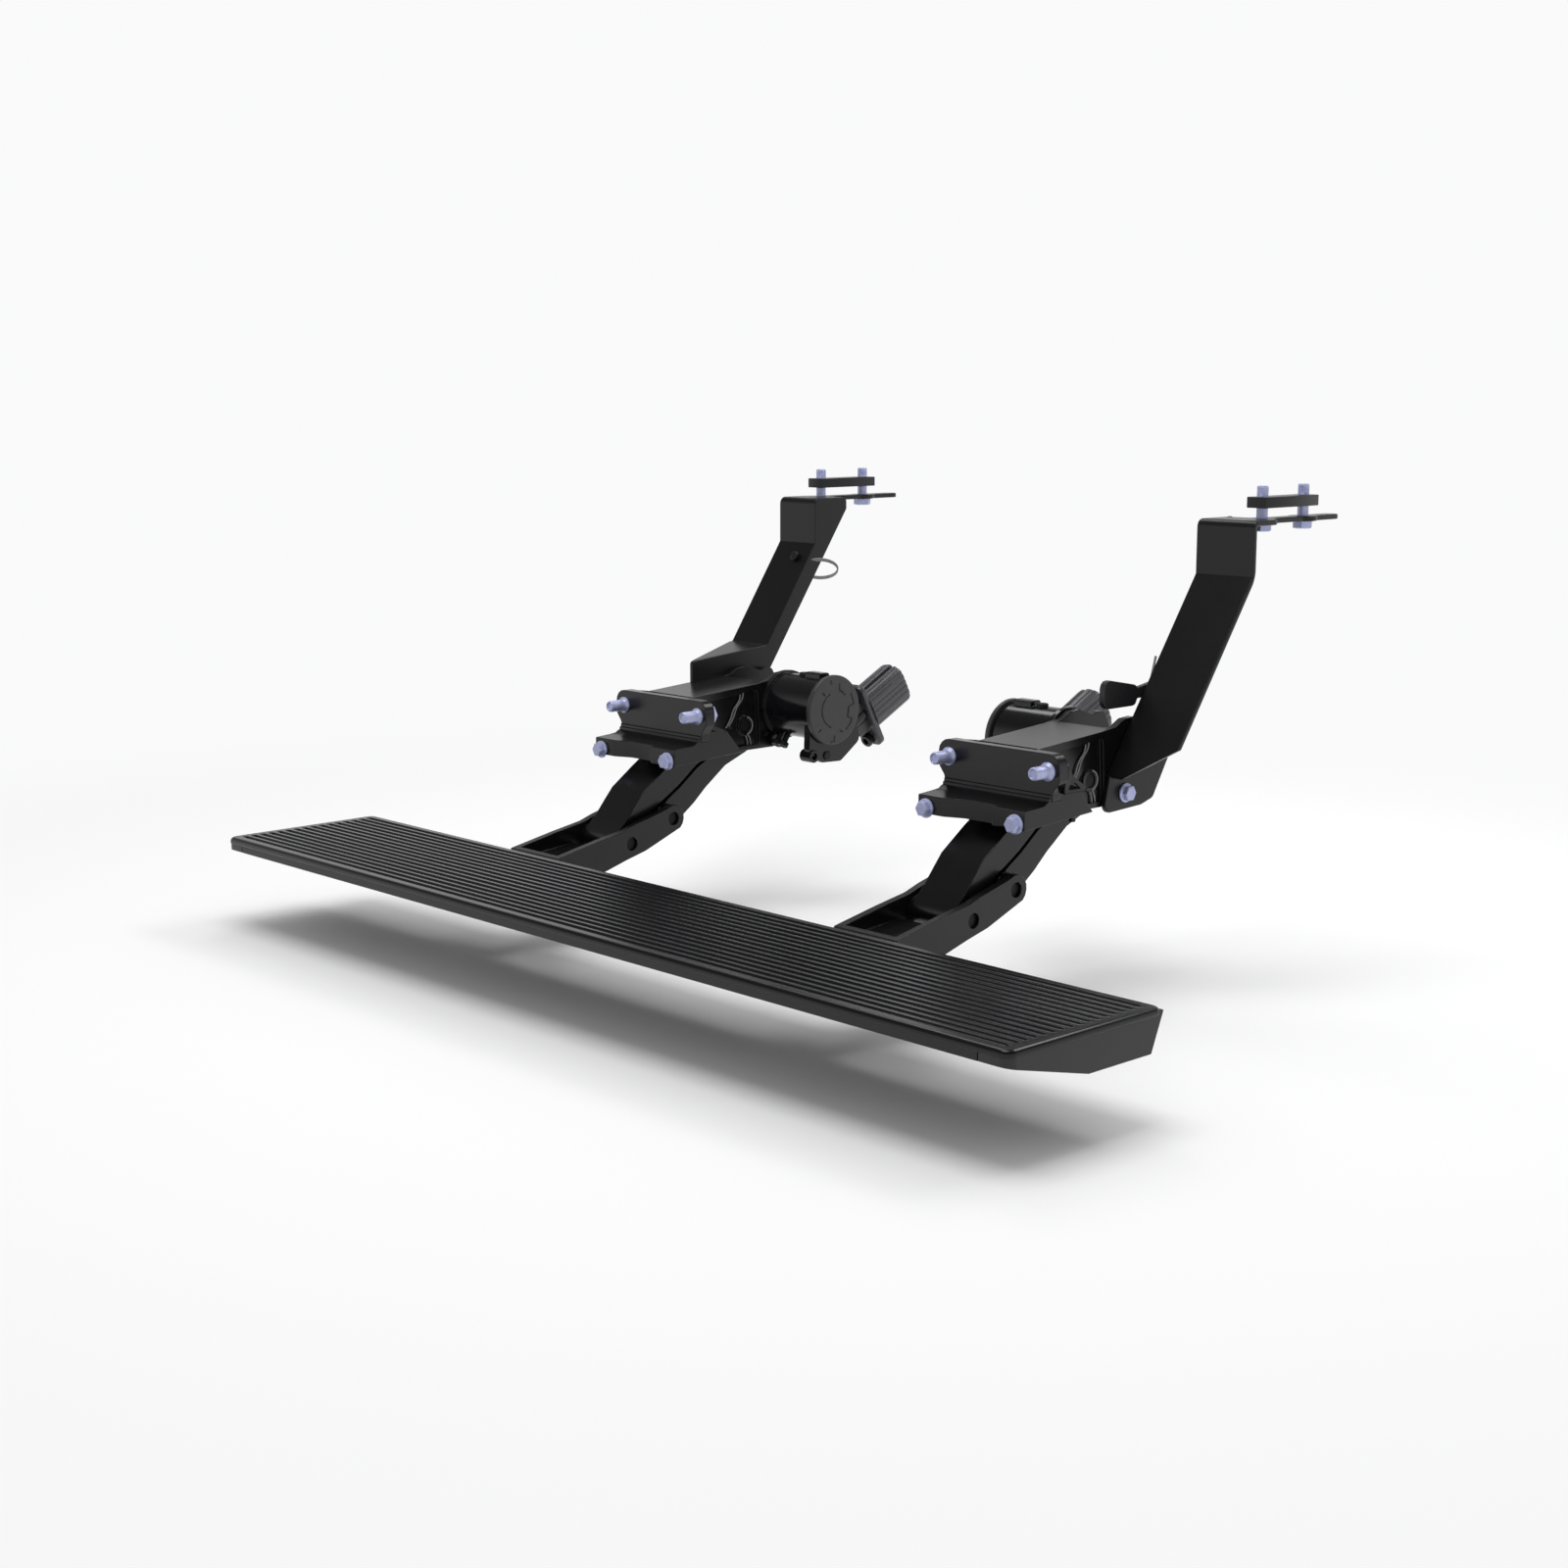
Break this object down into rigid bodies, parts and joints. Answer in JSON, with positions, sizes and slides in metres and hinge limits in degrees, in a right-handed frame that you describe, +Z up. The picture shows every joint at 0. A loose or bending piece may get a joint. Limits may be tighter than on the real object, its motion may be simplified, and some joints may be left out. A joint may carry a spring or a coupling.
{
  "type": "electric side step",
  "caption": "Ribbed tread board on two motor driven folding linkages with sill housings and frame struts, which swings down and inboard under a vehicle.",
  "frame": {"origin": "on the left housing's sill flange face, midway between its two bolts", "axes": "+X along the tread board, +Y inboard towards the vehicle, +Z up"},
  "size_m": [0.9977, 0.715, 0.392],
  "materials": {
    "tread_black": "textured powder coat",
    "cap_black": "fine grained moulding",
    "casting_black": "satin powder coat",
    "sheet_black": "satin powder coat",
    "motor_grey": "satin dark coat",
    "zinc": "pale lavender zinc plate",
    "pin_steel": "dull steel"
  },
  "bodies": {
    "mounting": {"left_housing": "casting_black", "left_upper_front_pin": "pin_steel", "left_gear_case": "casting_black", "left_gear_cover": "casting_black", "left_motor": "motor_grey", "left_sill_bolt_1": "zinc", "left_sill_bolt_2": "zinc", "left_sill_collar_1": "zinc", "left_sill_collar_2": "zinc", "left_lip_bolt_1": "zinc", "left_lip_bolt_2": "zinc", "left_strut": "sheet_black", "left_strut_bolt": "zinc", "left_clamp_bar": "sheet_black", "left_clamp_bolt_1": "zinc", "left_clamp_bolt_2": "zinc", "right_housing": "casting_black", "right_upper_front_pin": "pin_steel", "right_gear_case": "casting_black", "right_gear_cover": "casting_black", "right_motor": "motor_grey", "right_sill_bolt_1": "zinc", "right_sill_bolt_2": "zinc", "right_sill_collar_1": "zinc", "right_sill_collar_2": "zinc", "right_lip_bolt_1": "zinc", "right_lip_bolt_2": "zinc", "right_strut": "sheet_black", "right_strut_bolt": "zinc", "right_clamp_bar": "sheet_black", "right_clamp_bolt_1": "zinc", "right_clamp_bolt_2": "zinc", "right_wire_clip": "cap_black"},
    "left_rear": {"left_rear_arm": "casting_black", "left_output_shaft": "pin_steel"},
    "right_rear": {"right_rear_arm": "casting_black", "right_output_shaft": "pin_steel"},
    "left_front": {"left_front_arm": "casting_black"},
    "right_front": {"right_front_arm": "casting_black"},
    "step": {"tread_board": "tread_black", "left_end_cap": "cap_black", "right_end_cap": "cap_black", "left_step_bracket": "casting_black", "left_foot_bolt_1": "zinc", "left_foot_bolt_2": "zinc", "left_lower_front_pin": "pin_steel", "left_lower_rear_pin": "pin_steel", "right_step_bracket": "casting_black", "right_foot_bolt_1": "zinc", "right_foot_bolt_2": "zinc", "right_lower_front_pin": "pin_steel", "right_lower_rear_pin": "pin_steel"}
  },
  "joints": [
    {"name": "left_drive", "type": "hinge", "parent": "mounting", "child": "left_rear", "pos_m": [0, 0.1334, -0.0019], "axis": [1, 0, 0], "range_deg": [0, 105]},
    {"name": "step_level", "type": "hinge", "parent": "left_rear", "child": "step", "pos_m": [0, -0.0142, -0.0994], "axis": [1, 0, 0], "range_deg": [-105, 0]},
    {"name": "left_front_swing", "type": "hinge", "parent": "mounting", "child": "left_front", "pos_m": [0, 0.0818, -0.0197], "axis": [1, 0, 0], "range_deg": [0, 105]},
    {"name": "right_drive", "type": "hinge", "parent": "mounting", "child": "right_rear", "pos_m": [0.4336, 0.1334, -0.0019], "axis": [1, 0, 0], "range_deg": [0, 105]},
    {"name": "right_front_swing", "type": "hinge", "parent": "mounting", "child": "right_front", "pos_m": [0.4336, 0.0818, -0.0197], "axis": [1, 0, 0], "range_deg": [0, 105]}
  ],
  "couplings": [
    {"joint": "step_level", "follows": "left_drive", "ratio": -1},
    {"joint": "left_front_swing", "follows": "left_drive", "ratio": 1},
    {"joint": "right_drive", "follows": "left_drive", "ratio": 1},
    {"joint": "right_front_swing", "follows": "left_drive", "ratio": 1}
  ]
}
